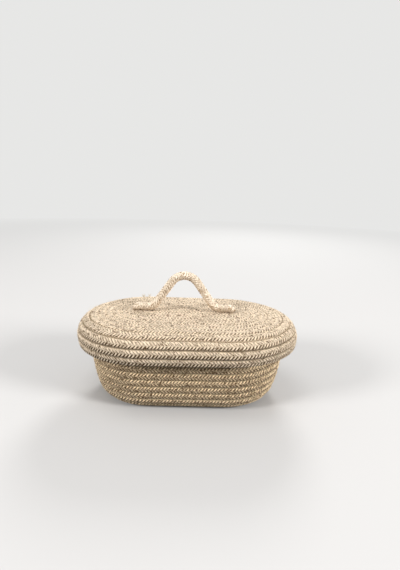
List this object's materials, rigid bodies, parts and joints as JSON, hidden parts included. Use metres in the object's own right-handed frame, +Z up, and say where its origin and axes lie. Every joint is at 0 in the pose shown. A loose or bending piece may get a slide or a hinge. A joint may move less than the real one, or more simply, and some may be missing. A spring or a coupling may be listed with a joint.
{
  "type": "lidded coiled jute basket",
  "caption": "Oval basket of coiled and sewn braided jute cord, with a lift-off domed lid whose skirt fits over the body and a cord arch handle.",
  "frame": {"origin": "middle of the base, on the surface that the basket stands on", "axes": "+X along the basket's length and the handle's arch, +Y to the back, +Z up"},
  "size_m": [0.2997, 0.2003, 0.1703],
  "materials": {
    "body_braid": "matte braided jute, tan with beige and brown flecks",
    "lid_braid": "matte braided jute, cream with beige and brown flecks",
    "handle_braid": "matte braided jute, pale cream",
    "needle_thread": "matte sewing thread, tan",
    "bobbin_thread": "matte sewing thread, natural",
    "foot_thread": "matte sewing thread, cream"
  },
  "bodies": {
    "basket": {"body_cord": "body_braid", "body_needle_thread": "needle_thread", "body_bobbin_thread": "bobbin_thread"},
    "lid": {"lid_cord": "lid_braid", "lid_needle_thread": "needle_thread", "lid_bobbin_thread": "bobbin_thread", "handle_cord": "handle_braid", "handle_stitches_left": "foot_thread", "handle_stitches_right": "foot_thread"}
  },
  "joints": [
    {"name": "lid_lift", "type": "slide", "parent": "basket", "child": "lid", "axis": [0, 0, 1], "range_m": [0, 0.15]}
  ]
}
